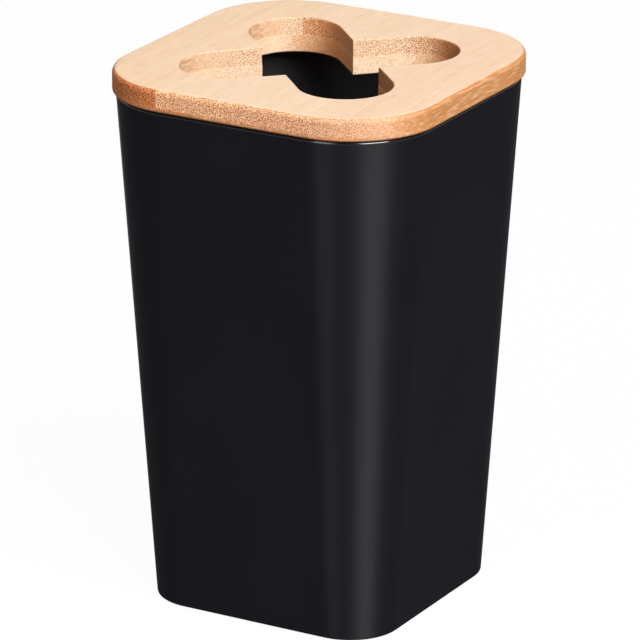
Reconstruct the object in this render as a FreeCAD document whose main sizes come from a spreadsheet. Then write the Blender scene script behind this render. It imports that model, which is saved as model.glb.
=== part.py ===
import FreeCAD, Part
import math
import os

import Sketcher
from FreeCAD import Placement, Rotation, Vector

# Toothbrush holder: a moulded cup, square with rounded corners and tapering to its base, closed by
# a bamboo lid. The lid is two plies of edge-glued strips. A rebate round the lower ply leaves a
# plug that sits in the cup's mouth, and two slots that cross on the diagonals make the opening.
# Millimetres, +Z up. The origin is the middle of the base, on the surface that the cup stands on.

SIZES = {
    # Cup, outside
    "cup_height": 114.2,
    "base_side": 57.9,
    "base_radius": 11.4,
    "mouth_side": 73.6,
    # Cup, wall, floor and the ring that it stands on
    "wall": 2.0,
    "floor_thickness": 2.0,
    "floor_chamfer": 2.0,
    "foot_width": 3.5,
    "foot_height": 1.0,
    "foot_chamfer": 0.6,
    "rim_round": 0.9,
    "rim_chamfer": 0.4,
    # Lid
    "lid_overhang": 0.7,
    "upper_ply": 3.9,
    "lower_ply": 3.9,
    "lip_thickness": 1.1,
    "plug_clearance": 0.4,
    "lid_round": 1.1,
    "lip_chamfer": 0.4,
    "plug_chamfer": 0.6,
    # Opening in the lid: the margin is the wood left between a slot's end and the lid's corner
    "slot_margin": 14.3,
    "slot_width": 20.2,
    "slot_angle": 45.0,
    "slot_chamfer": 0.3,
    # How far the strips' middle seam lies from the lid's middle
    "seam_shift": 0.7,
}

# The upper ply's strips share the lid's width. The lower ply's lie half a strip over, so that no
# two seams meet, which takes one strip more.
UPPER_STRIPS = 4
LOWER_STRIPS = UPPER_STRIPS + 1

# The opening is one slot and its copy, a quarter turn on.
SLOT_COUNT = 2
SLOT_TURN = 90.0

# Sketch numbers of the axes, and of the points of a line or an arc
Y_AXIS, X_AXIS = range(-2, 0)
START, END, CENTRE = range(1, 4)

# Edges are found by their place, to this accuracy.
NEAR = 0.001


def cup_side(level):
    """Expression for the cup's outer side at a level: its walls run straight from base to mouth."""
    return f"(Sizes.base_side + (Sizes.mouth_side - Sizes.base_side) * {level} / Sizes.cup_height)"


def cup_radius(level):
    """Expression for the cup's corner radius at a level: the corners lean out as the walls do."""
    return f"(Sizes.base_radius + ({cup_side(level)} - Sizes.base_side) / 2)"


def hollow_side(level):
    """Expression for the side of the cup's hollow at a level."""
    return f"({cup_side(level)} - 2 * Sizes.wall)"


def hollow_radius(level):
    """Expression for the corner radius of the cup's hollow at a level."""
    return f"({cup_radius(level)} - Sizes.wall)"


# Levels and sizes that follow from the sheet, as expressions
RIM_LEVEL = "Sizes.cup_height"
FLOOR_LEVEL = "(Sizes.foot_height + Sizes.floor_thickness)"
GLUE_LEVEL = f"({RIM_LEVEL} + Sizes.lip_thickness)"
PLUG_DEPTH = "(Sizes.lower_ply - Sizes.lip_thickness)"
PLUG_LEVEL = f"({RIM_LEVEL} - {PLUG_DEPTH})"
PLUG_SIDE = f"({hollow_side(PLUG_LEVEL)} - 2 * Sizes.plug_clearance)"
PLUG_RADIUS = f"({hollow_radius(PLUG_LEVEL)} - Sizes.plug_clearance)"
LID_SIDE = f"({cup_side(RIM_LEVEL)} + 2 * Sizes.lid_overhang)"
LID_RADIUS = f"({cup_radius(RIM_LEVEL)} + Sizes.lid_overhang)"
LID_CORNER_REACH = f"(({LID_SIDE} / 2 - {LID_RADIUS}) * sqrt(2) + {LID_RADIUS})"
SLOT_LENGTH = f"(2 * ({LID_CORNER_REACH} - Sizes.slot_margin))"
STRIP_WIDTH = f"({LID_SIDE} / {UPPER_STRIPS})"


def make_sheet(doc):
    """Put every driving dimension in the sheet, one row each, under its own name."""
    sheet = doc.addObject("Spreadsheet::Sheet", "Sizes")
    for row, (name, value) in enumerate(SIZES.items(), start=1):
        sheet.set(f"A{row}", name)
        sheet.set(f"B{row}", str(value))
        sheet.setAlias(f"B{row}", name)
    doc.recompute()


def worth(doc, expression):
    """The number that an expression has now."""
    return float(doc.Sizes.evalExpression(expression))


def own_origin(body, role):
    """One of a body's own origin planes or axes."""
    return next(item for item in body.Origin.OriginFeatures if item.Role == role)


def flat_sketch(body, name, level):
    """Start a level sketch in a body."""
    sketch = body.newObject("Sketcher::SketchObject", f"{body.Name}_{name}")
    sketch.AttachmentSupport = [(own_origin(body, "XY_Plane"), "")]
    sketch.MapMode = "FlatFace"
    sketch.setExpression(".AttachmentOffset.Base.z", level)
    return sketch


def tie(sketch, name, constraint, expression):
    """Add a dimension to a sketch under a name and tie it to the sheet."""
    index = sketch.addConstraint(constraint)
    sketch.renameConstraint(index, name)
    sketch.setExpression(f"Constraints.{name}", expression)


def join_smoothly(sketch, edges):
    """Join a closed run of lines and arcs end to end, each tangent to the next."""
    for edge, following in zip(edges, edges[1:] + edges[:1]):
        sketch.addConstraint(Sketcher.Constraint("Tangent", edge, END, following, START))


def add_arc(sketch, centre, radius, first, last):
    """Draw an arc between two angles in degrees."""
    circle = Part.Circle(centre, Vector(0, 0, 1), radius)
    return sketch.addGeometry(Part.ArcOfCircle(circle, math.radians(first), math.radians(last)))


def add_rounded_square(sketch, name, side, radius):
    """Draw a square with rounded corners about the sketch's origin."""
    half = worth(sketch.Document, side) / 2
    corner = worth(sketch.Document, radius)
    flat = half - corner
    edges = []
    for angle in (0, 90, 180, 270):
        turn = Rotation(Vector(0, 0, 1), angle)
        start = turn.multVec(Vector(-flat, -half, 0))
        end = turn.multVec(Vector(flat, -half, 0))
        centre = turn.multVec(Vector(flat, -flat, 0))
        edges.append(sketch.addGeometry(Part.LineSegment(start, end)))
        edges.append(add_arc(sketch, centre, corner, angle - 90, angle))
    join_smoothly(sketch, edges)
    front, right, back, left = edges[0::2]
    corners = edges[1::2]
    sketch.addConstraint(Sketcher.Constraint("Symmetric", front, START, front, END, Y_AXIS))
    sketch.addConstraint(Sketcher.Constraint("Symmetric", right, START, right, END, X_AXIS))
    sketch.addConstraint(Sketcher.Constraint("Horizontal", back))
    sketch.addConstraint(Sketcher.Constraint("Vertical", left))
    sketch.addConstraint(Sketcher.Constraint("Equal", front, right))
    for other in corners[1:]:
        sketch.addConstraint(Sketcher.Constraint("Equal", corners[0], other))
    tie(sketch, f"{name}_radius", Sketcher.Constraint("Radius", corners[0], corner), radius)
    across = Sketcher.Constraint("DistanceX", left, START, right, START, 2 * half)
    tie(sketch, f"{name}_side", across, side)


def square_outline(body, name, level, side, radius):
    """A level sketch that holds one rounded square."""
    sketch = flat_sketch(body, name, level)
    add_rounded_square(sketch, name, side, radius)
    return sketch


def slot_outline(body):
    """A level sketch that holds one round-ended slot, turned onto the lid's diagonal."""
    sketch = flat_sketch(body, "slot", "0")
    sketch.AttachmentOffset = Placement(Vector(), Rotation(Vector(0, 0, 1), 1))
    sketch.setExpression(".AttachmentOffset.Rotation.Angle", "Sizes.slot_angle")
    half = worth(body.Document, "Sizes.slot_width / 2")
    reach = worth(body.Document, SLOT_LENGTH) / 2 - half
    front = Part.LineSegment(Vector(-reach, -half, 0), Vector(reach, -half, 0))
    back = Part.LineSegment(Vector(reach, half, 0), Vector(-reach, half, 0))
    near_side = sketch.addGeometry(front)
    right_end = add_arc(sketch, Vector(reach, 0, 0), half, -90, 90)
    far_side = sketch.addGeometry(back)
    left_end = add_arc(sketch, Vector(-reach, 0, 0), half, 90, 270)
    join_smoothly(sketch, [near_side, right_end, far_side, left_end])
    middle = Sketcher.Constraint("Symmetric", left_end, CENTRE, right_end, CENTRE, X_AXIS, START)
    sketch.addConstraint(middle)
    sketch.addConstraint(Sketcher.Constraint("PointOnObject", right_end, CENTRE, X_AXIS))
    sketch.addConstraint(Sketcher.Constraint("Equal", right_end, left_end))
    tie(sketch, "end_radius", Sketcher.Constraint("Radius", right_end, half), "Sizes.slot_width / 2")
    spread = Sketcher.Constraint("DistanceX", left_end, CENTRE, right_end, CENTRE, 2 * reach)
    tie(sketch, "end_spread", spread, f"{SLOT_LENGTH} - Sizes.slot_width")
    return sketch


def pad(body, name, sketch, length):
    """Raise a sketch into a board."""
    feature = body.newObject("PartDesign::Pad", f"{body.Name}_{name}")
    feature.Profile = sketch
    feature.setExpression("Length", length)
    return feature


def loft(body, kind, name, lower, upper):
    """Run straight walls between two outlines, to add or to take away."""
    feature = body.newObject(f"PartDesign::{kind}Loft", f"{body.Name}_{name}")
    feature.Profile = lower
    feature.Sections = [upper]
    feature.Ruled = True
    return feature


def pocket_up(body, name, sketch, depth=None):
    """Cut upwards from a sketch, to a depth or right through, and see that something went."""
    body.Document.recompute()
    before = body.Shape.Volume
    feature = body.newObject("PartDesign::Pocket", f"{body.Name}_{name}")
    feature.Profile = sketch
    feature.Reversed = True
    if depth:
        feature.setExpression("Length", depth)
    else:
        feature.Type = "ThroughAll"
    body.Document.recompute()
    if body.Shape.Volume > before - NEAR:
        raise RuntimeError(f"{feature.Name} cuts nothing")
    return feature


def reach_of(edge):
    """How far from the middle an edge's ends lie, along X or Y."""
    return max(max(abs(corner.X), abs(corner.Y)) for corner in edge.Vertexes)


def flat_edges(body, level, belongs):
    """Names of the edges that lie flat at a level and whose reach from the middle belongs."""
    height = worth(body.Document, level)
    names = []
    for number, edge in enumerate(body.Shape.Edges, start=1):
        box = edge.BoundBox
        flat = abs(box.ZMin - height) < NEAR and abs(box.ZMax - height) < NEAR
        if flat and belongs(reach_of(edge)):
            names.append(f"Edge{number}")
    return names


def square_edges(body, level, side):
    """Names of the edges at a level that belong to a rounded square of one side."""
    half = worth(body.Document, side) / 2
    return flat_edges(body, level, lambda reach: abs(reach - half) < NEAR)


def slot_edges(body, level):
    """Names of the edges at a level that belong to the opening."""
    inside = worth(body.Document, SLOT_LENGTH) / 2
    return flat_edges(body, level, lambda reach: reach < inside)


def dress_edges(body, kind, size_name, name, edges, size):
    """Round or chamfer some edges of the body as it stands."""
    base = body.Tip
    feature = body.newObject(f"PartDesign::{kind}", f"{body.Name}_{name}")
    feature.Base = (base, edges)
    feature.setExpression(size_name, size)
    body.Document.recompute()


def round_edges(body, name, edges, radius):
    """Round some edges of the body as it stands."""
    dress_edges(body, "Fillet", "Radius", name, edges, radius)


def chamfer_edges(body, name, edges, size):
    """Chamfer some edges of the body as it stands."""
    dress_edges(body, "Chamfer", "Size", name, edges, size)


def build_cup(doc):
    """The cup: a tapered shell with an even wall, on a shallow ring round the underside."""
    body = doc.addObject("PartDesign::Body", "cup")
    base = square_outline(body, "base", "0", cup_side("0"), cup_radius("0"))
    mouth = square_outline(body, "mouth", RIM_LEVEL, cup_side(RIM_LEVEL), cup_radius(RIM_LEVEL))
    loft(body, "Additive", "outside", base, mouth)
    floor = square_outline(body, "floor", FLOOR_LEVEL, hollow_side(FLOOR_LEVEL), hollow_radius(FLOOR_LEVEL))
    bore = square_outline(body, "bore", RIM_LEVEL, hollow_side(RIM_LEVEL), hollow_radius(RIM_LEVEL))
    loft(body, "Subtractive", "hollow", floor, bore)
    foot_side = "(Sizes.base_side - 2 * Sizes.foot_width)"
    foot_radius = "(Sizes.base_radius - Sizes.foot_width)"
    recess = square_outline(body, "recess", "0", foot_side, foot_radius)
    pocket_up(body, "underside", recess, "Sizes.foot_height")
    chamfer_edges(body, "foot_edge", square_edges(body, "0", cup_side("0")), "Sizes.foot_chamfer")
    floor_edges = square_edges(body, FLOOR_LEVEL, hollow_side(FLOOR_LEVEL))
    chamfer_edges(body, "floor_edge", floor_edges, "Sizes.floor_chamfer")
    outer_rim = square_edges(body, RIM_LEVEL, cup_side(RIM_LEVEL))
    round_edges(body, "outer_rim", outer_rim, "Sizes.rim_round")
    inner_rim = square_edges(body, RIM_LEVEL, hollow_side(RIM_LEVEL))
    chamfer_edges(body, "inner_rim", inner_rim, "Sizes.rim_chamfer")
    return body


def cut_opening(body):
    """Cut one slot along a diagonal and repeat it a quarter turn on, so that the two cross."""
    slot = pocket_up(body, "one_slot", slot_outline(body))
    cross = body.newObject("PartDesign::PolarPattern", f"{body.Name}_crossed_slots")
    cross.Originals = [slot]
    cross.Axis = (own_origin(body, "Z_Axis"), [""])
    cross.Angle = SLOT_TURN
    cross.Occurrences = SLOT_COUNT
    body.Tip = cross
    body.Document.recompute()


def build_upper_ply(doc):
    """The lid's upper ply: a full-width board with a rounded top edge and the opening."""
    body = doc.addObject("PartDesign::Body", "upper_board")
    outline = square_outline(body, "outline", "0", LID_SIDE, LID_RADIUS)
    pad(body, "board", outline, "Sizes.upper_ply")
    cut_opening(body)
    round_edges(body, "top_edge", square_edges(body, "Sizes.upper_ply", LID_SIDE), "Sizes.lid_round")
    chamfer_edges(body, "slot_edge", slot_edges(body, "Sizes.upper_ply"), "Sizes.slot_chamfer")
    body.setExpression(".Placement.Base.z", GLUE_LEVEL)
    return body


def build_lower_ply(doc):
    """The lid's lower ply: a lip that rests on the rim, and a plug left by the rebate below it."""
    body = doc.addObject("PartDesign::Body", "lower_board")
    outline = square_outline(body, "outline", "0", LID_SIDE, LID_RADIUS)
    pad(body, "board", outline, "Sizes.lower_ply")
    rebate = square_outline(body, "plug", "0", PLUG_SIDE, PLUG_RADIUS)
    past_edge = "Sizes.lid_overhang"
    add_rounded_square(rebate, "past_edge", f"{LID_SIDE} + 2 * {past_edge}", f"{LID_RADIUS} + {past_edge}")
    pocket_up(body, "rebate", rebate, PLUG_DEPTH)
    cut_opening(body)
    chamfer_edges(body, "lip_edge", square_edges(body, PLUG_DEPTH, LID_SIDE), "Sizes.lip_chamfer")
    chamfer_edges(body, "plug_edge", square_edges(body, "0", PLUG_SIDE), "Sizes.plug_chamfer")
    body.setExpression(".Placement.Base.z", PLUG_LEVEL)
    return body


def split_into_strips(doc, board, name, count, thickness, level):
    """Share a board out among its bamboo strips, which run along Y and meet at glued seams."""
    strips = []
    for number in range(1, count + 1):
        seam = f"Sizes.seam_shift + ({number} - 1 - {count} / 2) * {STRIP_WIDTH}"
        first, last = number == 1, number == count
        span = doc.addObject("Part::Box", f"{name}_span_{number}")
        span.setExpression("Length", LID_SIDE if first or last else STRIP_WIDTH)
        span.setExpression("Width", f"2 * {LID_SIDE}")
        span.setExpression("Height", f"3 * {thickness}")
        start = f"{seam} + {STRIP_WIDTH} - {LID_SIDE}" if first else seam
        span.setExpression(".Placement.Base.x", start)
        span.setExpression(".Placement.Base.y", f"-{LID_SIDE}")
        span.setExpression(".Placement.Base.z", f"{level} - {thickness}")
        strip = doc.addObject("Part::Common", f"{name}_{number}")
        strip.Base = board
        strip.Tool = span
        strip.Label = f"{name}_{number}"
        strips.append(strip)
    return strips


def check(doc, parts):
    """Stop if any feature failed or any finished piece is empty or broken."""
    failed = [item.Name for item in doc.Objects if {"Invalid", "Error"} & set(item.State)]
    if failed:
        raise RuntimeError(f"failed features: {failed}")
    for part in parts:
        if part.Shape.isNull() or not part.Shape.isValid() or not part.Shape.Solids:
            raise RuntimeError(f"{part.Label} is not a sound solid")


def main():
    """Build the holder and write one file for each piece."""
    doc = FreeCAD.newDocument("toothbrush_holder")
    make_sheet(doc)
    parts = [build_cup(doc)]
    upper = build_upper_ply(doc)
    parts += split_into_strips(doc, upper, "lid_upper_strip", UPPER_STRIPS, "Sizes.upper_ply", GLUE_LEVEL)
    lower = build_lower_ply(doc)
    parts += split_into_strips(doc, lower, "lid_lower_strip", LOWER_STRIPS, "Sizes.lower_ply", PLUG_LEVEL)
    doc.recompute()
    check(doc, parts)
    os.makedirs("parts", exist_ok=True)
    for part in parts:
        part.Shape.exportStep(f"parts/{part.Label}.step")
        print(part.Label, len(part.Shape.Solids), round(part.Shape.Volume, 1))


main()
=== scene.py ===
"""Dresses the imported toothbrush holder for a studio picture.

The cup is its wall section, swept round a rounded square by a node tree. The lid's nine bamboo
strips are cut from two routed boards. Sizes in the classes are millimetres, and MM turns them into
the scene's metres. Azimuths run from -Y towards +X, in degrees.
"""

import logging
import math
from dataclasses import dataclass, field, replace
from enum import Enum
from typing import NamedTuple

import bmesh
import bpy
from bpy.types import Material, Mesh, Node, NodeSocket, NodeTree, Object
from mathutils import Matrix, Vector


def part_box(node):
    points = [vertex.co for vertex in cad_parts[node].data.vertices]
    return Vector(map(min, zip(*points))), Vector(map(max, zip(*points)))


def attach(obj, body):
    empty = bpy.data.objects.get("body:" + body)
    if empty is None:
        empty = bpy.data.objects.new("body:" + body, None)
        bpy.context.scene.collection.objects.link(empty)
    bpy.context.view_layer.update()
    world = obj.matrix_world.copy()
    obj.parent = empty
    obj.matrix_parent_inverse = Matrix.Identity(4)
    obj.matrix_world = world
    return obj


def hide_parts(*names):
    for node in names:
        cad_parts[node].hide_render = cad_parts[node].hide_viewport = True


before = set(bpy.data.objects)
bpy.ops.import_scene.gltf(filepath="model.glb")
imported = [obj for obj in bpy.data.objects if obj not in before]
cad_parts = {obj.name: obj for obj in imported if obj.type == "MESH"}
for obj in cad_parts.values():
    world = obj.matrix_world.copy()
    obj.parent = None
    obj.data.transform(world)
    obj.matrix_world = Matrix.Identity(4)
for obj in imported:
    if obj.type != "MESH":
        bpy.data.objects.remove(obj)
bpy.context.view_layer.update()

MM = 0.001
# Points closer than MERGE are one point. The sweep's seams and the saw have limits of their own.
MERGE = 0.0005 * MM
SEAM_MERGE = 2 * MERGE
SAW_SLACK = 0.2 * MERGE
LOG = logging.getLogger("toothbrush_holder")

Colour = tuple[float, float, float, float]
Triple = tuple[float, float, float]
Span = tuple[float, float]
Feeds = dict[str | int, object]

WHITE: Colour = (1.0, 1.0, 1.0, 1.0)
WITHOUT_HEIGHT: Triple = (1.0, 1.0, 0.0)
# The middle of a noise, and half of one in a count.
HALF = 0.5
# A rounded square: its corners, the points beside each round that keep the sides flat, a quarter of
# a turn and a unit square's diagonal.
CORNERS = 4
EASE_POINTS = 2
QUARTER = math.pi / 2
DIAGONAL = math.sqrt(2.0)


class Corner(NamedTuple):
    """A corner of a section: how far out it lies, its level and the radius that rounds it."""

    out: float
    level: float
    radius: float = 0.0


class Noise(NamedTuple):
    """A noise: its features per millimetre along X, Y and Z, and how many finer layers it has."""

    scale: Triple
    detail: float


class NodeBench:
    """Adds nodes to one tree and joins them up."""

    # The Mix node's factor and its two inputs, by number.
    NUMBER_INPUTS = (0, 2, 3)
    COLOUR_INPUTS = (0, 6, 7)

    def __init__(self, tree: NodeTree) -> None:
        """Start on an emptied tree."""
        self.tree = tree
        tree.nodes.clear()

    def add(self, kind: str, feeds: Feeds | None = None, **options: object) -> Node:
        """Add a node.

        Args:
            kind: the node's type.
            feeds: values or sockets for its inputs, by name or number.
            options: the node's own settings.

        Returns:
            The new node.
        """
        node = self.tree.nodes.new(kind)
        for name, value in options.items():
            setattr(node, name, value)
        self.feed_all(node, feeds or {})
        return node

    def feed(self, socket: NodeSocket, value: object) -> None:
        """Link a socket to an input, or set the input to a plain value.

        Args:
            socket: the input.
            value: an output socket, or the input's own value.
        """
        if isinstance(value, NodeSocket):
            self.tree.links.new(value, socket)
        else:
            socket.default_value = value

    def feed_all(self, node: Node, feeds: Feeds) -> None:
        """Feed several inputs of a node."""
        for key, value in feeds.items():
            self.feed(node.inputs[key], value)

    def math(self, operation: str, *values: object, clamp: bool = False) -> NodeSocket:
        """Work out a number from numbers or sockets, and keep it between 0 and 1 if it is clamped."""
        node = self.add("ShaderNodeMath", dict(enumerate(values)), operation=operation, use_clamp=clamp)
        return node.outputs[0]

    def vector(self, operation: str, *values: object) -> NodeSocket:
        """Work out a vector.

        Args:
            operation: the sum's name in the node.
            values: its terms, vectors or sockets; a number is the factor of SCALE.

        Returns:
            The result's socket.
        """
        feeds = dict(enumerate(values))
        if operation == "SCALE":
            feeds = {0: values[0], "Scale": values[1]}
        return self.add("ShaderNodeVectorMath", feeds, operation=operation).outputs[0]

    def combine(self, x: object, y: object, z: object) -> NodeSocket:
        """Make a vector of three numbers."""
        return self.add("ShaderNodeCombineXYZ", {"X": x, "Y": y, "Z": z}).outputs[0]

    def split(self, vector: NodeSocket) -> tuple[NodeSocket, ...]:
        """Take a vector apart into its three numbers."""
        return tuple(self.add("ShaderNodeSeparateXYZ", {0: vector}).outputs)

    def step(self, value: object, low: object, high: object) -> NodeSocket:
        """Rise smoothly from 0 to 1 as a value goes from low to high."""
        feeds = {"Value": value, "From Min": low, "From Max": high}
        return self.add("ShaderNodeMapRange", feeds, interpolation_type="SMOOTHSTEP").outputs[0]

    def between(self, share: object, first: object, second: object) -> NodeSocket:
        """Go from a first number to a second as a share goes from 0 to 1."""
        feeds = dict(zip(self.NUMBER_INPUTS, (share, first, second)))
        return self.add("ShaderNodeMix", feeds, data_type="FLOAT").outputs[0]

    def mix(self, share: object, under: object, over: object) -> NodeSocket:
        """Lay a share of one colour over another."""
        feeds = dict(zip(self.COLOUR_INPUTS, (share, under, over)))
        return self.add("ShaderNodeMix", feeds, data_type="RGBA").outputs[2]

    def noise(self, place: NodeSocket, noise: Noise) -> bpy.types.NodeOutputs:
        """Add a noise.

        Args:
            place: where the noise is read, in millimetres.
            noise: its scale and detail.

        Returns:
            The noise's outputs, Fac and Color.
        """
        point = self.vector("MULTIPLY", place, noise.scale)
        feeds = {"Vector": point, "Scale": 1.0, "Detail": noise.detail}
        return self.add("ShaderNodeTexNoise", feeds).outputs


def new_material(name: str) -> tuple[Material, NodeBench, Node]:
    """Start a material with one Principled shader.

    Args:
        name: the material's name.

    Returns:
        The material, a bench on its nodes and the shader.
    """
    material = bpy.data.materials.new(name)
    material.use_nodes = True
    bench = NodeBench(material.node_tree)
    shader = bench.add("ShaderNodeBsdfPrincipled")
    output = bench.add("ShaderNodeOutputMaterial")
    bench.feed(output.inputs["Surface"], shader.outputs[0])
    return material, bench, shader


class Cuts(NamedTuple):
    """How the wood is cut at a point, and where shade is painted, as sockets that go from 0 to 1."""

    edge: NodeSocket
    side: NodeSocket
    end: NodeSocket
    crossed: NodeSocket
    painted_wall_shade: NodeSocket
    painted_lip_shade: NodeSocket


@dataclass
class BambooGroup:
    """The grain that every strip shares: fibre bundles that run along Y through pale wood.

    A cut across the bundles shows them as dots, the strip's side as pale dashes and its planed face
    as faint streaks. The opening shows more of the pale face colour than the deeper outer edge: painted
    light, for the light its walls lose. Its leftward walls have painted shade, and so has the round
    under the edge. Lengths are millimetres.

    A rise or a turn is where a mask starts and where it is full. For the dashes, and for the turns of
    the side, the end and the crossed cuts, the opening's values come before the edge's.
    """

    NAME = "bamboo_grain"
    COLOURS = ("Face", "Side", "End", "Cut", "Shade And Dash", "Fibre")
    SHARES = ("Fibre Share", "Opening Fibre")

    bundle_spacing: float = 0.37
    bundle_least: float = 0.16
    bundle_spread: float = 0.14
    bundle_blur: float = 0.2
    bundle_disorder: float = 0.75
    bundle_shown: float = 0.94
    bundle_on_face: float = 0.04
    bundle_polish: float = 0.12
    bundle_dent: float = 0.6
    pith_mottle: float = 0.3

    wander: float = 1.5
    wander_noise: Noise = Noise((0.05, 0.012, 0.05), 1.0)
    streak_noise: Noise = Noise((0.45, 0.015, 0.45), 3.0)
    streak_depth: float = 0.2
    fine_noise: Noise = Noise((6.0, 0.15, 6.0), 2.0)
    fine_depth: float = 0.14
    fine_roughness: float = 0.1
    base_roughness: float = 0.62
    stroke_noise: Noise = Noise((4.0, 0.2, 4.0), 0.0)
    stroke_light: float = 0.05
    stroke_light_rise: Span = (0.62, 0.75)
    stroke_dark: float = 0.12
    stroke_dark_rise: Span = (0.4, 0.25)
    tone_depths: Triple = (0.6, 1.0, 1.5)
    dash_noise: Noise = Noise((2.4, 0.3, 2.7), 1.0)
    dash_started: Span = (0.46, 0.54)
    dash_shown: Span = (0.7, 0.38)
    dash_soft: float = 0.12
    dash_dark: float = 0.25

    # The opening shows more of the pale face colour than the outer edge: painted light, for the light its
    # walls lose.
    opening_reach: float = 24.0
    edge_reach: float = 28.0
    opening_side_depth: float = 0.48
    top_turn: Span = (0.8, 0.98)
    underside_turn: Span = (-0.97, -0.999)
    # Facings of the opening's walls that turn left, away from the key lamp, and get painted shade.
    wall_shade_turn: Span = (0.3, -0.35)
    # Downward facings of the round under the outer edge, which get a painted shade line.
    lip_shade_turn: Span = (-0.15, -0.75)
    lip_shade_share: float = 0.6
    side_turn: tuple[Span, Span] = ((0.5, 1.0), (0.25, 0.8))
    end_turn: tuple[Span, Span] = ((0.66, 1.0), (0.25, 0.8))
    crossed_turn: tuple[Span, Span] = ((0.5, 0.85), (0.55, 0.9))

    def __post_init__(self) -> None:
        """Build the group once."""
        self.tree = bpy.data.node_groups.new(self.NAME, "ShaderNodeTree")
        self.bench = NodeBench(self.tree)
        self._open_sockets()
        self._grow_grain()

    def _open_sockets(self) -> None:
        """Give the group its named inputs and outputs."""
        sockets = [(colour, "INPUT", "NodeSocketColor") for colour in self.COLOURS]
        sockets += [(share, "INPUT", "NodeSocketFloat") for share in self.SHARES]
        sockets += [("Offset", "INPUT", "NodeSocketVector")]
        sockets += [("Colour", "OUTPUT", "NodeSocketColor"), ("Roughness", "OUTPUT", "NodeSocketFloat")]
        sockets += [("Height", "OUTPUT", "NodeSocketFloat")]
        for name, direction, kind in sockets:
            self.tree.interface.new_socket(name, in_out=direction, socket_type=kind)

    def _grow_grain(self) -> None:
        """Lay out the fibre bundles, the figure along them and the colours of the cuts."""
        bench = self.bench
        given = bench.add("NodeGroupInput").outputs
        coordinates = bench.add("ShaderNodeTexCoord").outputs
        spot = bench.vector("SCALE", coordinates["Object"], 1.0 / MM)
        place = bench.vector("ADD", spot, given["Offset"])
        drift = bench.noise(place, self.wander_noise)["Color"]
        drift = bench.vector("SUBTRACT", drift, (HALF, HALF, HALF))
        drift = bench.vector("MULTIPLY", drift, (self.wander, 0.0, self.wander))
        place = bench.vector("ADD", place, drift)
        bundle, pith = self._bundles(place, given["Fibre Share"])
        cuts = self._cuts(spot, coordinates["Normal"])

        fine = bench.noise(place, self.fine_noise)["Fac"]
        mottle = bench.math("MULTIPLY", cuts.crossed, self.pith_mottle)
        mottle = bench.math("MULTIPLY", bench.math("SUBTRACT", pith, HALF), mottle)
        tone = bench.math("ADD", self._figure(place, fine), mottle)
        shade = bench.combine(*(bench.math("POWER", tone, depth) for depth in self.tone_depths))
        ground = bench.vector("MULTIPLY", self._ground(place, cuts, given), shade)
        shown = bench.math("MULTIPLY_ADD", cuts.crossed, self.bundle_shown, self.bundle_on_face)
        shown = bench.math("MULTIPLY", shown, bench.between(cuts.edge, given["Opening Fibre"], 1.0))
        colour = bench.mix(bench.math("MULTIPLY", bundle, shown), ground, given["Fibre"])

        roughness = bench.math("MULTIPLY_ADD", bundle, -self.bundle_polish, self.base_roughness)
        roughness = bench.math("MULTIPLY_ADD", fine, self.fine_roughness, roughness)
        dent = bench.math("MULTIPLY", cuts.end, -self.bundle_dent)
        height = bench.math("MULTIPLY_ADD", bundle, dent, fine)
        bench.add("NodeGroupOutput", {"Colour": colour, "Roughness": roughness, "Height": height})

    def _cuts(self, spot: NodeSocket, normal: NodeSocket) -> Cuts:
        """Tell the edge from the opening and cuts across the bundles from those along them; mask painted
        shade.

        Args:
            spot: the point on the lid, in millimetres.
            normal: which way the surface faces.

        Returns:
            The cuts at that point, with its painted shade.
        """
        bench = self.bench
        along_x, along_y, _ = bench.split(bench.vector("ABSOLUTE", spot))
        reach = bench.math("MAXIMUM", along_x, along_y)
        edge = bench.step(reach, self.opening_reach, self.edge_reach)
        rightward, _, upward = bench.split(normal)
        top = bench.step(upward, *self.top_turn)
        underside = bench.step(upward, *self.underside_turn)
        upright = bench.math("SUBTRACT", 1.0, bench.math("MAXIMUM", top, underside))
        level = bench.vector("NORMALIZE", bench.vector("MULTIPLY", normal, WITHOUT_HEIGHT))
        sideways, lengthways, _ = bench.split(bench.vector("ABSOLUTE", level))
        side = bench.math("MULTIPLY", upright, self._turned(edge, sideways, self.side_turn))
        end = bench.math("MULTIPLY", upright, self._turned(edge, lengthways, self.end_turn))
        crossed = bench.math("MULTIPLY", upright, self._turned(edge, lengthways, self.crossed_turn))
        inside = bench.math("MULTIPLY", upright, bench.math("SUBTRACT", 1.0, edge))
        # Painted shade on the opening's walls that face left, away from the key lamp.
        painted_wall_shade = bench.math("MULTIPLY", inside, bench.step(rightward, *self.wall_shade_turn))
        # Painted shade on the round under the outer edge, where the lid sits on the cup.
        painted_lip_shade = bench.math("MULTIPLY", bench.step(upward, *self.lip_shade_turn), self.lip_shade_share)
        painted_lip_shade = bench.math("MULTIPLY", painted_lip_shade, bench.math("MULTIPLY", upright, edge))
        return Cuts(edge, side, end, crossed, painted_wall_shade, painted_lip_shade)

    def _turned(self, edge: NodeSocket, facing: NodeSocket, turn: tuple[Span, Span]) -> NodeSocket:
        """Rise from 0 to 1 as a wall turns to face one way.

        Args:
            edge: 0 in the opening and 1 on the outer edge.
            facing: how far the wall faces that way.
            turn: where the rise starts and ends, in the opening and on the edge.

        Returns:
            The socket of the rise.
        """
        opening, outer = turn
        limits = (self.bench.between(edge, inner, rim) for inner, rim in zip(opening, outer))
        return self.bench.step(facing, *limits)

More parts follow.
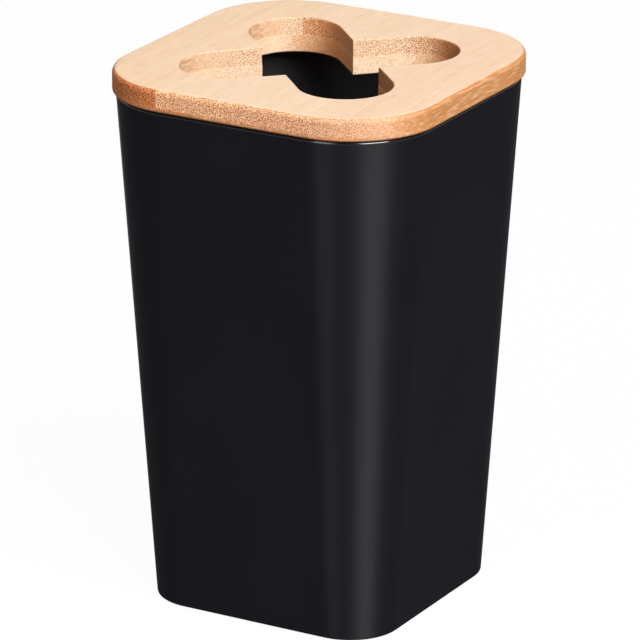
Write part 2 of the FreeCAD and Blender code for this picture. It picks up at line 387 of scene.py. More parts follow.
    def _figure(self, place: NodeSocket, fine: NodeSocket) -> NodeSocket:
        """Draw the broad streaks, the fine lines and the short strokes that run along the wood.

        Args:
            place: the point in the wood, in millimetres.
            fine: the noise of the fine lines.

        Returns:
            A factor for the wood's colour, about 1.
        """
        bench = self.bench
        streak = bench.noise(place, self.streak_noise)["Fac"]
        stroke = bench.noise(place, self.stroke_noise)["Fac"]
        tone = bench.math("MULTIPLY_ADD", streak, self.streak_depth, 1.0 - self.streak_depth / 2)
        lines = bench.math("MULTIPLY_ADD", fine, self.fine_depth, 1.0 - self.fine_depth / 2)
        tone = bench.math("MULTIPLY", tone, lines)
        light = bench.step(stroke, *self.stroke_light_rise)
        dark = bench.step(stroke, *self.stroke_dark_rise)
        tone = bench.math("MULTIPLY_ADD", light, self.stroke_light, tone)
        return bench.math("MULTIPLY_ADD", dark, -self.stroke_dark, tone)

    def _ground(self, place: NodeSocket, cuts: Cuts, given: bpy.types.NodeOutputs) -> NodeSocket:
        """Colour the wood between the bundles by how it is cut, with painted light and painted shade.

        Args:
            place: the point in the wood, in millimetres.
            cuts: how the wood is cut there.
            given: the group's inputs.

        Returns:
            The colour's socket.
        """
        bench = self.bench
        # Less side colour in the opening: painted light, paler where the walls get less light.
        side_depth = bench.between(cuts.edge, self.opening_side_depth, 1.0)
        side_share = bench.math("MULTIPLY", cuts.side, side_depth)
        ground = bench.mix(side_share, given["Face"], given["Side"])
        ground = bench.mix(cuts.end, ground, bench.mix(cuts.edge, given["Cut"], given["End"]))
        # Painted shade on the opening's leftward walls.
        ground = bench.mix(cuts.painted_wall_shade, ground, given["Shade And Dash"])
        dash_low = bench.between(cuts.edge, *self.dash_started)
        dash_high = bench.math("ADD", dash_low, self.dash_soft)
        lines = bench.noise(place, self.dash_noise)["Fac"]
        along = bench.math("MULTIPLY", cuts.side, bench.math("SUBTRACT", 1.0, cuts.crossed))
        dash_shown = bench.between(cuts.edge, *self.dash_shown)
        pale = bench.math("MULTIPLY", bench.step(lines, dash_low, dash_high), dash_shown)
        dark_high = bench.math("SUBTRACT", dash_low, self.dash_soft)
        dark = bench.math("MULTIPLY", bench.step(lines, dash_low, dark_high), self.dash_dark)
        brown = bench.mix(cuts.edge, given["Shade And Dash"], given["Fibre"])
        ground = bench.mix(bench.math("MULTIPLY", dark, along), ground, brown)
        ground = bench.mix(bench.math("MULTIPLY", pale, along), ground, given["Face"])
        # Painted shade under the outer edge, towards the fibre colour.
        return bench.mix(cuts.painted_lip_shade, ground, given["Fibre"])

    def _bundles(self, place: NodeSocket, share: NodeSocket) -> tuple[NodeSocket, NodeSocket]:
        """Scatter the fibre bundles over the strip's section.

        Args:
            place: the point in the wood, in millimetres.
            share: how many of the places hold a bundle.

        Returns:
            A socket that is 1 inside a bundle and 0 outside, and one for the tone of the pith round it.
        """
        bench = self.bench
        across, _, through = bench.split(place)
        section = bench.vector("SCALE", bench.combine(across, through, 0.0), 1.0 / self.bundle_spacing)
        feeds = {"Vector": section, "Scale": 1.0, "Randomness": self.bundle_disorder}
        cells = bench.add("ShaderNodeTexVoronoi", feeds, voronoi_dimensions="2D")
        chance, girth, pith = bench.split(cells.outputs["Color"])
        inner = bench.math("MULTIPLY_ADD", girth, self.bundle_spread, self.bundle_least)
        outer = bench.math("ADD", inner, self.bundle_blur)
        bundle = bench.math("SUBTRACT", 1.0, bench.step(cells.outputs["Distance"], inner, outer))
        return bench.math("MULTIPLY", bundle, bench.math("LESS_THAN", chance, share)), pith


@dataclass(frozen=True)
class BambooFinish:
    """One strip's bamboo: its colours and how its fibres show and lie.

    End and cut are the colours across the fibres, on the outer edge and in the opening.
    """

    face: Colour = (0.855, 0.632, 0.436, 1.0)
    side: Colour = (0.69, 0.32, 0.12, 1.0)
    end: Colour = (0.97, 0.535, 0.3, 1.0)
    cut: Colour = (0.77, 0.4, 0.205, 1.0)
    # Painted shade for the opening's leftward walls; this colour also tints the dark dashes in the opening.
    shade_and_dash: Colour = (0.72, 0.33, 0.14, 1.0)
    fibre: Colour = (0.34, 0.105, 0.032, 1.0)
    fibre_share: float = 0.95
    opening_fibre: float = 1.0
    offset: Triple = (0.0, 0.0, 0.0)
    relief_strength: float = 0.4
    relief_depth: float = 0.05
    gloss: float = 0.2

    def material(self, name: str, grain: BambooGroup) -> Material:
        """Make the strip's material.

        Args:
            name: the material's name.
            grain: the shared grain.

        Returns:
            The material.
        """
        material, bench, shader = new_material(name)
        colours = (self.face, self.side, self.end, self.cut, self.shade_and_dash, self.fibre)
        shares = (self.fibre_share, self.opening_fibre)
        feeds = dict(zip(grain.COLOURS, colours)) | dict(zip(grain.SHARES, shares))
        wood = bench.add("ShaderNodeGroup", node_tree=grain.tree)
        bench.feed_all(wood, feeds | {"Offset": self.offset})
        relief = {"Height": wood.outputs["Height"], "Strength": self.relief_strength}
        bump = bench.add("ShaderNodeBump", relief | {"Distance": self.relief_depth * MM})
        looks = {"Base Color": wood.outputs["Colour"], "Roughness": wood.outputs["Roughness"]}
        bench.feed_all(shader, looks | {"Normal": bump.outputs[0], "Specular IOR Level": self.gloss})
        return material


@dataclass(frozen=True)
class PlasticFinish:
    """The cup's black plastic: polished outside, and matt inside where the mould's core was."""

    colour: Colour = (0.0042, 0.0038, 0.006, 1.0)
    bloom: Colour = (0.0054, 0.0049, 0.0072, 1.0)
    inside: Colour = (0.017, 0.015, 0.019, 1.0)
    cloud: Noise = Noise((0.05, 0.05, 0.03), 4.0)
    cloud_rise: Span = (0.35, 0.65)
    haze: Noise = Noise((0.9, 0.9, 0.9), 3.0)
    haze_depth: float = 0.04
    roughness: float = 0.16
    inside_roughness: float = 0.5
    inside_turn: Span = (-0.5, 0.0)
    floor_turn: Span = (0.3, 0.7)
    floor_blend: Span = (9.0, 6.0)
    pebble: Noise = Noise((2.5, 2.5, 2.5), 2.0)
    pebble_strength: float = 0.05
    pebble_depth: float = 0.02
    index: float = 1.5
    gloss: float = 0.9

    def material(self, name: str) -> Material:
        """Make the plastic.

        Args:
            name: the material's name.

        Returns:
            The material.
        """
        material, bench, shader = new_material(name)
        coordinates = bench.add("ShaderNodeTexCoord").outputs
        place = bench.vector("SCALE", coordinates["Object"], 1.0 / MM)
        outward = bench.vector("MULTIPLY", place, WITHOUT_HEIGHT)
        product = {0: bench.vector("NORMALIZE", outward), 1: coordinates["Normal"]}
        turned = bench.add("ShaderNodeVectorMath", product, operation="DOT_PRODUCT").outputs["Value"]
        core_side = bench.math("SUBTRACT", 1.0, bench.step(turned, *self.inside_turn))
        _, _, upward = bench.split(coordinates["Normal"])
        _, _, level = bench.split(place)
        low_down = bench.step(level, *self.floor_blend)
        cup_floor = bench.math("MULTIPLY", bench.step(upward, *self.floor_turn), low_down)
        core_side = bench.math("MAXIMUM", core_side, cup_floor)

        cloud = bench.noise(place, self.cloud)["Fac"]
        haze = bench.noise(place, self.haze)["Fac"]
        pebble = bench.noise(place, self.pebble)["Fac"]
        colour = bench.mix(bench.step(cloud, *self.cloud_rise), self.colour, self.bloom)
        colour = bench.mix(core_side, colour, self.inside)
        roughness = bench.math("MULTIPLY_ADD", haze, self.haze_depth, self.roughness - self.haze_depth / 2)
        matt = self.inside_roughness - self.roughness
        roughness = bench.math("MULTIPLY_ADD", core_side, matt, roughness)
        relief = {"Height": pebble, "Strength": self.pebble_strength, "Distance": self.pebble_depth * MM}
        bump = bench.add("ShaderNodeBump", relief)
        looks = {"Base Color": colour, "Roughness": roughness, "Normal": bump.outputs[0]}
        bench.feed_all(shader, looks | {"IOR": self.index, "Specular IOR Level": self.gloss})
        return material


def heading(angle: float) -> Vector:
    """The flat unit vector at an angle from X, in radians."""
    return Vector((math.cos(angle), math.sin(angle)))


def rounded_path(corners: list[Corner], steps: int, ease: float) -> list[tuple[float, float]]:
    """Round a section's corners, with a point on each side that keeps the flats flat.

    Args:
        corners: the section's corners in order; the first and last are its ends.
        steps: how many runs make a rounded corner.
        ease: how far from a rounded corner the points on the flats lie.

    Returns:
        The section's points, as distance out and level.
    """
    points = [(corners[0].out, corners[0].level)]
    for before, corner, after in zip(corners, corners[1:], corners[2:]):
        here = Vector((corner.out, corner.level))
        back = (Vector((before.out, before.level)) - here).normalized()
        on = (Vector((after.out, after.level)) - here).normalized()
        half_angle = back.angle(on) / 2
        run = corner.radius / math.tan(half_angle)
        centre = here + (back + on).normalized() * corner.radius / math.sin(half_angle)
        first = here + back * run - centre
        sweep = (here + on * run - centre).angle_signed(first)
        points.append(tuple(here + back * (run + ease)))
        for number in range(steps + 1):
            angle = sweep * number / steps
            turned = Vector((
                first.x * math.cos(angle) - first.y * math.sin(angle),
                first.x * math.sin(angle) + first.y * math.cos(angle),
            ))
            points.append(tuple(centre + turned))
        points.append(tuple(here + on * (run + ease)))
    points.append((corners[-1].out, corners[-1].level))
    return points


def finish_mesh(mesh: Mesh, crease: float = 32.0) -> None:
    """Turn a closed mesh's faces outwards and smooth it between its sharp edges.

    Args:
        mesh: the mesh.
        crease: the least angle of a sharp edge, in degrees.
    """
    work = bmesh.new()
    work.from_mesh(mesh)
    bmesh.ops.remove_doubles(work, verts=work.verts, dist=MERGE)
    bmesh.ops.dissolve_degenerate(work, edges=work.edges, dist=MERGE)
    bmesh.ops.recalc_face_normals(work, faces=work.faces)
    work.to_mesh(mesh)
    work.free()
    mesh.shade_smooth()
    mesh.set_sharp_from_angle(angle=math.radians(crease))


def add_piece(name: str, mesh: Mesh, material: Material) -> Object:
    """Put a mesh in the scene.

    Args:
        name: the piece's name.
        mesh: its mesh.
        material: its finish.

    Returns:
        The piece.
    """
    mesh.materials.clear()
    mesh.materials.append(material)
    piece = bpy.data.objects.new(name, mesh)
    bpy.context.scene.collection.objects.link(piece)
    return piece


@dataclass
class Cup:
    """The moulded cup: one wall section, swept round a square core that the corners grow from."""

    base_side: float = 57.9
    base_radius: float = 11.4
    wall: float = 2.0
    floor_level: float = 3.0
    floor_round: float = 2.0
    foot_width: float = 3.5
    foot_height: float = 1.0
    foot_round: float = 0.6
    recess_round: float = 0.3
    rim_round: float = 0.9
    rim_inner_round: float = 0.4
    gate_radius: float = 1.2
    gate_face_radius: float = 0.96
    gate_height: float = 0.3
    round_steps: int = 8
    round_ease: float = 0.25
    corner_steps: int = 32
    ease: float = 1.5
    finish: PlasticFinish = field(default_factory=PlasticFinish)

    def __post_init__(self) -> None:
        """Take the height and the mouth from the frame."""
        _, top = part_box("cup")
        self.height = top.z / MM
        self.core = self.base_side / 2 - self.base_radius
        self.mouth_radius = top.x / MM - self.core

    def radius_at(self, level: float) -> float:
        """How far the outer wall lies from the core at a level."""
        return self.base_radius + (self.mouth_radius - self.base_radius) * level / self.height

    def outline(self, radius: float, steps: int) -> list[Vector]:
        """Draw the core grown by a radius.

        Args:
            radius: how far the outline lies from the core.
            steps: how many runs make a corner.

        Returns:
            The outline's points, in millimetres.
        """
        points = []
        for corner in range(CORNERS):
            turn = QUARTER * corner
            middle = heading(turn + QUARTER / 2) * (self.core * DIAGONAL)
            for place in range(-1, steps + EASE_POINTS):
                share = min(max(place / steps, 0.0), 1.0)
                normal = heading(turn + share * QUARTER)
                shift = self.ease * ((place > steps) - (place < 0))
                points.append(middle + normal * radius + Vector((-normal.y, normal.x)) * shift)
        return points

    def section(self) -> list[tuple[float, float, float]]:
        """Draw the wall's section, from the middle of the floor over the rim to the underside.

        Returns:
            Points of three numbers: the distance from the core, how much of the core counts there,
            which is 0 on the cup's axis and 1 elsewhere, and the level.
        """
        foot_inside = self.base_radius - self.foot_width
        middle_flat = foot_inside / 2
        corners = [
            Corner(middle_flat, self.floor_level),
            Corner(self.radius_at(self.floor_level) - self.wall, self.floor_level, self.floor_round),
            Corner(self.mouth_radius - self.wall, self.height, self.rim_inner_round),
            Corner(self.mouth_radius, self.height, self.rim_round),
            Corner(self.base_radius, 0.0, self.foot_round),
            Corner(foot_inside, 0.0, self.recess_round),
            Corner(foot_inside, self.foot_height, self.recess_round),
            Corner(middle_flat, self.foot_height),
        ]
        path = rounded_path(corners, self.round_steps, self.round_ease)
        wall = [(out, 1.0, level) for out, level in path]
        gate_top = self.foot_height - self.gate_height
        gate = [
            (self.gate_radius, 0.0, self.foot_height),
            (self.gate_face_radius, 0.0, gate_top),
            (0.0, 0.0, gate_top),
        ]
        return [(0.0, 0.0, self.floor_level), *wall, *gate]

    def sweep_tree(self) -> NodeTree:
        """Build the node tree that sweeps a section round the rounded square.

        Returns:
            The tree, with inputs for the section, the core, the corner's steps, the ease and the material.
        """
        tree = bpy.data.node_groups.new("rounded_square_sweep", "GeometryNodeTree")
        sockets = {
            "Section": "NodeSocketGeometry",
            "Core": "NodeSocketFloat",
            "Corner Steps": "NodeSocketInt",
            "Ease": "NodeSocketFloat",
            "Finish": "NodeSocketMaterial",
        }
        for name, kind in sockets.items():
            tree.interface.new_socket(name, in_out="INPUT", socket_type=kind)
        tree.interface.new_socket("Swept", in_out="OUTPUT", socket_type="NodeSocketGeometry")
        bench = NodeBench(tree)
        given = bench.add("NodeGroupInput").outputs
        steps = given["Corner Steps"]
        count = bench.add("GeometryNodeAttributeDomainSize", {0: given["Section"]}).outputs["Point Count"]
        per_corner = bench.math("ADD", steps, 1.0 + EASE_POINTS)
        around = bench.math("MULTIPLY", per_corner, CORNERS)
        columns = bench.math("ADD", around, 1.0)
        grid = bench.add("GeometryNodeMeshGrid", {"Vertices X": columns, "Vertices Y": count})

        index = bench.add("GeometryNodeInputIndex").outputs[0]
        station = bench.math("FLOORED_MODULO", index, count)
        column = bench.math("FLOOR", bench.math("DIVIDE", bench.math("ADD", index, HALF), count))
        column = bench.math("FLOORED_MODULO", column, around)
        corner = bench.math("FLOOR", bench.math("DIVIDE", bench.math("ADD", column, HALF), per_corner))
        place = bench.math("FLOORED_MODULO", column, per_corner)
        share = bench.math("DIVIDE", bench.math("SUBTRACT", place, 1.0), steps, clamp=True)
        angle = bench.math("MULTIPLY", bench.math("ADD", corner, share), QUARTER)
        cosine = bench.math("COSINE", angle)
        sine = bench.math("SINE", angle)
        normal = bench.combine(cosine, sine, 0.0)
        along = bench.combine(bench.math("MULTIPLY", sine, -1.0), cosine, 0.0)

        diagonal = bench.math("MULTIPLY_ADD", corner, QUARTER, QUARTER / 2)
        reach = bench.math("MULTIPLY", given["Core"], DIAGONAL)
        centre = bench.combine(bench.math("COSINE", diagonal), bench.math("SINE", diagonal), 0.0)
        centre = bench.vector("SCALE", centre, reach)
        last = bench.math("GREATER_THAN", place, bench.math("ADD", steps, 1.0 + HALF))
        first = bench.math("LESS_THAN", place, HALF)
        shift = bench.math("MULTIPLY", bench.math("SUBTRACT", last, first), given["Ease"])
        centre = bench.vector("ADD", centre, bench.vector("SCALE", along, shift))

        position = bench.add("GeometryNodeInputPosition").outputs[0]
        sample = bench.add("GeometryNodeSampleIndex", data_type="FLOAT_VECTOR")
        vector_input = next(socket for socket in sample.inputs if socket.name == "Value" and socket.enabled)
        bench.feed(sample.inputs["Geometry"], given["Section"])
        bench.feed(vector_input, position)
        bench.feed(sample.inputs["Index"], station)
        sampled = next(socket for socket in sample.outputs if socket.enabled)
        out, core_share, level = bench.split(sampled)
        point = bench.vector("SCALE", centre, core_share)
        point = bench.vector("ADD", point, bench.vector("SCALE", normal, out))
        point = bench.vector("ADD", point, bench.combine(0.0, 0.0, level))
        placed = bench.add("GeometryNodeSetPosition", {"Geometry": grid.outputs["Mesh"], "Position": point})
        merging = {"Geometry": placed.outputs[0], "Distance": SEAM_MERGE}
        merged = bench.add("GeometryNodeMergeByDistance", merging)
        real = bench.add("GeometryNodeRealizeInstances", {"Geometry": merged.outputs[0]})
        dressing = {"Geometry": real.outputs[0], "Material": given["Finish"]}
        dressed = bench.add("GeometryNodeSetMaterial", dressing)
        bench.add("NodeGroupOutput", {0: dressed.outputs[0]})
        return tree

    def build(self) -> Object:
        """Sweep the cup and stand it for its node.

        Returns:
            The cup's piece.
        """
        material = self.finish.material("black_plastic")
        outline = [Vector((out * MM, share, level * MM)) for out, share, level in self.section()]
        line = bpy.data.meshes.new("cup_section")
        line.from_pydata(outline, [(number, number + 1) for number in range(len(outline) - 1)], [])
        maker = bpy.data.objects.new("cup_section", line)
        bpy.context.scene.collection.objects.link(maker)
        sweep = maker.modifiers.new("sweep", "NODES")
        sweep.node_group = self.sweep_tree()
        values = {"Core": self.core * MM, "Corner Steps": self.corner_steps, "Ease": self.ease * MM}
        values["Finish"] = material
        for item in sweep.node_group.interface.items_tree:
            if item.name in values:
                sweep[item.identifier] = values[item.name]
        graph = bpy.context.evaluated_depsgraph_get()
        mesh = bpy.data.meshes.new_from_object(maker.evaluated_get(graph))
        maker.modifiers.remove(sweep)
        bpy.data.objects.remove(maker)
        finish_mesh(mesh)
        piece = add_piece("moulded_cup", mesh, material)
        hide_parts("cup")
        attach(piece, "cup")
        return piece


class Ply(Enum):
    """The lid's two layers, by the names of their nodes."""

    UPPER = "lid_upper_strip"
    LOWER = "lid_lower_strip"


DEEP_SIDE: Colour = (0.56, 0.23, 0.085, 1.0)
PALE_FIBRE: Colour = (0.44, 0.16, 0.055, 1.0)
LOWER_END: Colour = (0.82, 0.415, 0.205, 1.0)
LOWER_ENDS_AND_CUTS: tuple[tuple[Colour, Colour], ...] = (
    ((0.7, 0.3, 0.125, 1.0), (0.76, 0.44, 0.24, 1.0)),
    (LOWER_END, (0.88, 0.6, 0.39, 1.0)),
    (LOWER_END, (0.83, 0.53, 0.32, 1.0)),
)
# In each strip, the colour for the opening's leftward walls is painted shade; it also tints the dark dashes
# there.
STRIPS: dict[Ply, tuple[BambooFinish, ...]] = {
    Ply.UPPER: (
        BambooFinish(
            face=(0.85, 0.605, 0.402, 1.0),
            side=DEEP_SIDE,
            end=(0.79, 0.27, 0.09, 1.0),
            cut=(0.86, 0.6, 0.4, 1.0),
            fibre=(0.13, 0.03, 0.009, 1.0),
            opening_fibre=0.5,
        ),
        BambooFinish(),
        BambooFinish(
            end=(0.94, 0.51, 0.29, 1.0),
            cut=(0.82, 0.5, 0.3, 1.0),
            shade_and_dash=(0.58, 0.25, 0.1, 1.0),
        ),
        BambooFinish(
            face=(0.85, 0.602, 0.42, 1.0),
            side=(0.6, 0.27, 0.1, 1.0),
            end=(0.76, 0.437, 0.26, 1.0),
            cut=(0.74, 0.4, 0.21, 1.0),
            shade_and_dash=(0.6, 0.235, 0.09, 1.0),
            fibre=PALE_FIBRE,
            opening_fibre=1.3,
        ),
    ),
    Ply.LOWER: (
        BambooFinish(
            side=DEEP_SIDE,
            end=(0.72, 0.29, 0.115, 1.0),
            fibre=(0.2, 0.055, 0.018, 1.0),
        ),
        *(
            BambooFinish(side=(0.85, 0.6, 0.4, 1.0), end=end, cut=cut, opening_fibre=0.4)
            for end, cut in LOWER_ENDS_AND_CUTS
        ),
        BambooFinish(
            side=(0.64, 0.295, 0.112, 1.0),
            end=(0.7, 0.39, 0.22, 1.0),
            fibre=PALE_FIBRE,
        ),
    ),
}


@dataclass
class Lid:
    """The bamboo lid: two routed boards, each glued up from strips."""

    cup: Cup
    lid_round: float = 1.1
    lip_round: float = 0.6
    plug_clearance: float = 0.4
    plug_round: float = 0.6
    slot_width: float = 20.2
    slot_margin: float = 14.3
    slot_round: float = 0.3
    glue_step: float = 0.06
    round_steps: int = 6
    round_ease: float = 0.2
    corner_steps: int = 24
    inset: float = 2.0
    seam_slack: float = 0.01
    grain_shift: Triple = (13.7, 31.0, 7.3)

    def __post_init__(self) -> None:
        """Take the levels and the lid's side from the frame."""
        glue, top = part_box(f"{Ply.UPPER.value}_4")
        plug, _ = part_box(f"{Ply.LOWER.value}_3")
        self.top = top.z / MM
        self.glue = glue.z / MM
        self.plug = plug.z / MM
        self.radius = top.x / MM - self.cup.core
        self.plug_radius = self.cup.radius_at(self.plug) - self.cup.wall - self.plug_clearance
        corner_reach = self.cup.core * DIAGONAL + self.radius
        self.slot_reach = corner_reach - self.slot_margin - self.slot_width / 2

    def square(self, radius: float) -> list[Vector]:
        """Draw the lid's outline at a distance from the core."""
        return self.cup.outline(radius, self.corner_steps)

    def crossed_slots(self, half_width: float) -> list[Vector]:
        """Draw the outline of two round-ended slots that cross on the diagonals.

        Args:
            half_width: half the slots' width.

        Returns:
            The outline's points, in millimetres.
        """
        points = []
        for lobe in range(CORNERS):
            way = QUARTER * (lobe + HALF)
            middle = heading(way) * self.slot_reach
            for place in range(2 * self.corner_steps + 1):
                angle = way + QUARTER * (place / self.corner_steps - 1.0)
                points.append(middle + heading(angle) * half_width)
            cusp = heading(way + QUARTER / 2)
            points.append(cusp * half_width * DIAGONAL)
        return points

    def sections(self, ply: Ply) -> tuple[list[Corner], list[Corner]]:
        """Give a board's edge and slot as sections.

        Args:
            ply: which board.

        Returns:
            The edge's corners from the bottom up, and the slot's from the top down.
        """
        rim = self.cup.height
        half = self.slot_width / 2
        if ply is Ply.UPPER:
            edge = [
                Corner(self.radius, self.glue),
                Corner(self.radius, self.top, self.lid_round),
                Corner(self.radius - self.inset, self.top),
            ]
            slot = [
                Corner(half + self.inset, self.top),
                Corner(half, self.top, self.slot_round),
                Corner(half, self.glue),
            ]
            return edge, slot
        half -= self.glue_step
        edge = [
            Corner(self.plug_radius - self.inset, self.plug),
            Corner(self.plug_radius, self.plug, self.plug_round),
            Corner(self.plug_radius, rim, self.slot_round),
            Corner(self.radius, rim, self.lip_round),
            Corner(self.radius, self.glue),
        ]
        slot = [
            Corner(half, self.glue),
            Corner(half, self.plug, self.slot_round),
            Corner(half + self.inset, self.plug),
        ]
        return edge, slot

    def board(self, ply: Ply) -> bmesh.types.BMesh:
        """Build one whole board as a closed mesh.

        Args:
            ply: which board.

        Returns:
            The board's mesh, in metres.
        """
        edge, slot = self.sections(ply)
        work = bmesh.new()
        loops = []
        for section, draw in ((edge, self.square), (slot, self.crossed_slots)):
            rings = []
            for out, level in rounded_path(section, self.round_steps, self.round_ease):
                rings.append([work.verts.new((p.x * MM, p.y * MM, level * MM)) for p in draw(out)])
            for lower, upper in zip(rings, rings[1:]):
                count = len(lower)
                for number in range(count):
                    after = (number + 1) % count
                    work.faces.new((lower[number], lower[after], upper[after], upper[number]))
            loops.append((rings[0], rings[-1]))
        (edge_start, edge_end), (slot_start, slot_end) = loops
        for outer, inner in ((edge_end, slot_start), (edge_start, slot_end)):
            rims = []
            for ring in (outer, inner):
                for number, vert in enumerate(ring):
                    rims.append(work.edges.get((vert, ring[(number + 1) % len(ring)])))
            bmesh.ops.triangle_fill(work, edges=rims, use_beauty=True)
        bmesh.ops.recalc_face_normals(work, faces=work.faces)
        return work

    def strip(self, board: bmesh.types.BMesh, node: str) -> Mesh:
        """Saw one strip out of its board, between the seams that its node has.

        Args:
            board: the whole board.
            node: the strip's node.

        Returns:
            The strip's mesh.
        """
        work = board.copy()
        low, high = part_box(node)
        half = self.radius + self.cup.core
        for seam, keep in ((low.x, 1.0), (high.x, -1.0)):
            if abs(seam / MM) < half - self.seam_slack:
                parts = work.verts[:] + work.edges[:] + work.faces[:]
                saw = {"plane_co": (seam, 0.0, 0.0), "plane_no": (keep, 0.0, 0.0), "dist": SAW_SLACK}
                bmesh.ops.bisect_plane(work, geom=parts, clear_inner=True, **saw)
                rims = [rim for rim in work.edges if rim.is_boundary]
                bmesh.ops.holes_fill(work, edges=rims, sides=0)
        mesh = bpy.data.meshes.new(node)
        work.to_mesh(mesh)
        work.free()
        finish_mesh(mesh)
        return mesh

    def build(self) -> list[Object]:
        """Cut every strip and stand it for its node.

        Returns:
            The strips' pieces.
        """
        grain = BambooGroup()
        pieces = []
        for ply, finishes in STRIPS.items():
            board = self.board(ply)
            for number, finish in enumerate(finishes, start=1):
                node = f"{ply.value}_{number}"
                finish = replace(finish, offset=tuple(shift * number for shift in self.grain_shift))
                material = finish.material(f"bamboo_{node}", grain)
                piece = add_piece(f"{node}_wood", self.strip(board, node), material)
                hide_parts(node)
                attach(piece, "lid")
                pieces.append(piece)
            board.free()
        return pieces


@dataclass(frozen=True)
class SoftBox:
    """A soft lamp that looks at the object. A level of 1 shows a facing colour as it is written."""

    name: str
    azimuth: float
    elevation: float
    distance: float
    width: float
    height: float
    level: float


def flat_sheet(name: str, corners: list[Vector], faces: list[tuple[int, ...]], level: float) -> Mesh:
    """Draw a flat sheet.

    Args:
        name: the sheet's name.
        corners: its corners.
        faces: its faces, by the numbers of their corners.
        level: its height.

    Returns:
        The sheet's mesh.
    """
    mesh = bpy.data.meshes.new(name)
    mesh.from_pydata([(corner.x, corner.y, level) for corner in corners], [], faces)
    return mesh


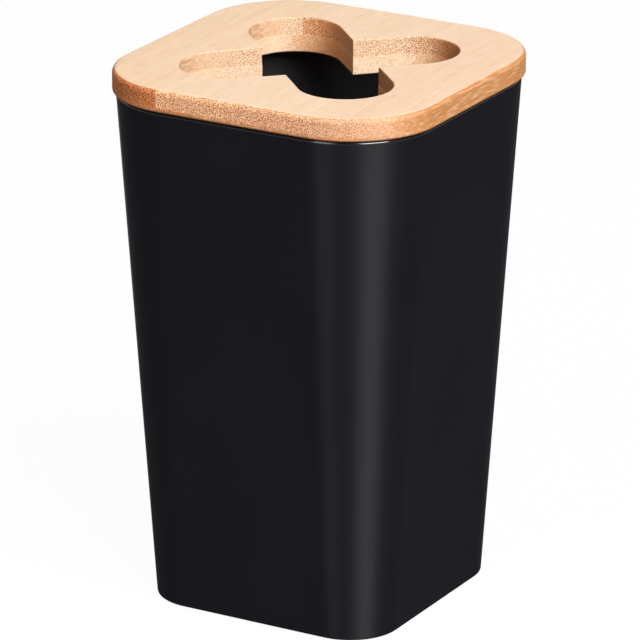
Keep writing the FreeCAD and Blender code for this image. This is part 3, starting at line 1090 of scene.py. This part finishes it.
@dataclass
class Studio:
    """The white floor, the dark table that gloss sees, the soft lamps and the camera, in metres."""

    cup: Cup
    camera_azimuth: float = 29.93
    camera_elevation: float = 19.54
    camera_distance: float = 1.2372
    camera_lens: float = 323.0
    aim: Vector = field(default_factory=lambda: Vector((0.0, 0.0, 0.06007)))
    sensor_width: float = 36.0
    floor_side: float = 8.0
    floor_white: float = 0.97
    floor_matt: Colour = (0.85, 0.85, 0.85, 1.0)
    floor_bounce: Colour = (0.15, 0.15, 0.15, 1.0)
    table_side: float = 4.0
    table_lift: float = 0.00002
    table_colour: Colour = (0.049, 0.05, 0.059, 1.0)
    table_roughness: float = 0.5
    table_gloss: float = 0.55
    room_level: float = 0.07
    horizon: Span = (0.03, 0.08)
    lamps: tuple[SoftBox, ...] = (
        SoftBox("key_lamp", azimuth=61.0, elevation=41.0, distance=2.25, width=1.2, height=1.65, level=1.59),
        SoftBox("fill_lamp", azimuth=-6.0, elevation=30.0, distance=1.6, width=0.6, height=1.3, level=0.26),
        SoftBox("back_lamp", azimuth=215.0, elevation=10.0, distance=1.6, width=0.9, height=0.6, level=0.14),
    )

    def build(self) -> None:
        """Set up the floor, the table, the lamps, the room and the camera."""
        self._floor()
        self._table()
        for lamp in self.lamps:
            self._lamp(lamp)
        self._room()
        self._camera()

    def _floor(self) -> None:
        """Lay a floor that looks white and still takes the object's shadow."""
        material = bpy.data.materials.new("white_floor")
        material.use_nodes = True
        bench = NodeBench(material.node_tree)
        path = bench.add("ShaderNodeLightPath").outputs
        seen = bench.math("MAXIMUM", path["Is Camera Ray"], path["Is Glossy Ray"])
        seen = bench.math("MAXIMUM", seen, path["Is Transmission Ray"])
        grey = bench.mix(seen, self.floor_bounce, self.floor_matt)
        matt = bench.add("ShaderNodeBsdfDiffuse", {"Color": grey})
        white = bench.add("ShaderNodeEmission", {"Color": WHITE, "Strength": 1.0})
        share = bench.math("MULTIPLY", seen, self.floor_white)
        mixed = bench.add("ShaderNodeMixShader", {0: share, 1: matt.outputs[0], 2: white.outputs[0]})
        below = bench.add("ShaderNodeNewGeometry").outputs["Backfacing"]
        clear = bench.add("ShaderNodeBsdfTransparent")
        sided = bench.add("ShaderNodeMixShader", {0: below, 1: mixed.outputs[0], 2: clear.outputs[0]})
        bench.add("ShaderNodeOutputMaterial", {"Surface": sided.outputs[0]})
        half_diagonal = self.floor_side / 2 * DIAGONAL
        corners = [heading(QUARTER * (corner + HALF)) * half_diagonal for corner in range(CORNERS)]
        mesh = flat_sheet("studio_floor", corners, [tuple(range(CORNERS))], -self.table_lift)
        add_piece("studio_floor", mesh, material)

    def _table(self) -> None:
        """Lay a dark polished table top that only gloss sees, so that the black cup stays black.

        It has a hole under the cup, up to the foot ring, so that the recess shows from below.
        """
        material, bench, shader = new_material("dark_table")
        looks = {"Base Color": self.table_colour, "Roughness": self.table_roughness}
        bench.feed_all(shader, looks | {"Specular IOR Level": self.table_gloss})
        ring_middle = self.cup.base_radius - self.cup.foot_width / 2
        hole = [point * MM for point in self.cup.outline(ring_middle, self.cup.corner_steps)]
        half = self.table_side / 2
        rim = [point * (half / max(abs(point.x), abs(point.y))) for point in hole]
        count = len(hole)
        sides = [(number, (number + 1) % count) for number in range(count)]
        faces = [(first, second, count + second, count + first) for first, second in sides]
        mesh = flat_sheet("dark_table", rim + hole, faces, self.table_lift)
        table = add_piece("dark_table", mesh, material)
        for ray in ("camera", "diffuse", "transmission", "shadow"):
            setattr(table, f"visible_{ray}", False)

    def _stand(self, item: Object, azimuth: float, elevation: float, distance: float) -> None:
        """Stand a lamp or the camera round the object, looking at it.

        Args:
            item: the lamp or the camera.
            azimuth: its azimuth, in degrees.
            elevation: its elevation, in degrees.
            distance: how far from the object it stands.
        """
        turn, rise = math.radians(azimuth), math.radians(elevation)
        way = Vector((math.sin(turn) * math.cos(rise), -math.cos(turn) * math.cos(rise), math.sin(rise)))
        item.location = self.aim + way * distance
        item.rotation_euler = way.to_track_quat("Z", "Y").to_euler()
        bpy.context.scene.collection.objects.link(item)

    def _lamp(self, box: SoftBox) -> None:
        """Hang one lamp.

        Args:
            box: the lamp's place, size and level.
        """
        data = bpy.data.lights.new(box.name, "AREA")
        data.shape = "RECTANGLE"
        data.size = box.width
        data.size_y = box.height
        data.energy = box.level * (math.pi * box.distance) ** 2
        lamp = bpy.data.objects.new(box.name, data)
        lamp.visible_camera = False
        self._stand(lamp, box.azimuth, box.elevation, box.distance)

    def _room(self) -> None:
        """Close the room: white round the horizon and dim overhead."""
        world = bpy.data.worlds.new("studio_room")
        world.use_nodes = True
        bench = NodeBench(world.node_tree)
        _, _, rise = bench.split(bench.add("ShaderNodeTexCoord").outputs["Generated"])
        overhead = bench.step(rise, *self.horizon)
        strength = bench.math("MULTIPLY_ADD", overhead, self.room_level - 1.0, 1.0)
        room = bench.add("ShaderNodeBackground", {"Color": WHITE, "Strength": strength})
        bench.add("ShaderNodeOutputWorld", {"Surface": room.outputs[0]})
        bpy.context.scene.world = world

    def _camera(self) -> None:
        """Put the camera where the photograph was taken from."""
        data = bpy.data.cameras.new("camera")
        data.lens = self.camera_lens
        data.sensor_width = self.sensor_width
        camera = bpy.data.objects.new("camera", data)
        self._stand(camera, self.camera_azimuth, self.camera_elevation, self.camera_distance)
        bpy.context.scene.camera = camera


def main() -> None:
    """Build the cup, the lid and the studio, and note the model's size."""
    logging.basicConfig(level=logging.INFO, format="%(name)s: %(message)s")
    bpy.context.scene.view_settings.view_transform = "Standard"
    cup = Cup()
    pieces = [cup.build()]
    pieces += Lid(cup).build()
    for piece in pieces:
        LOG.info("%s: %d faces", piece.name, len(piece.data.polygons))
    Studio(cup).build()


if __name__ == "__main__":
    main()
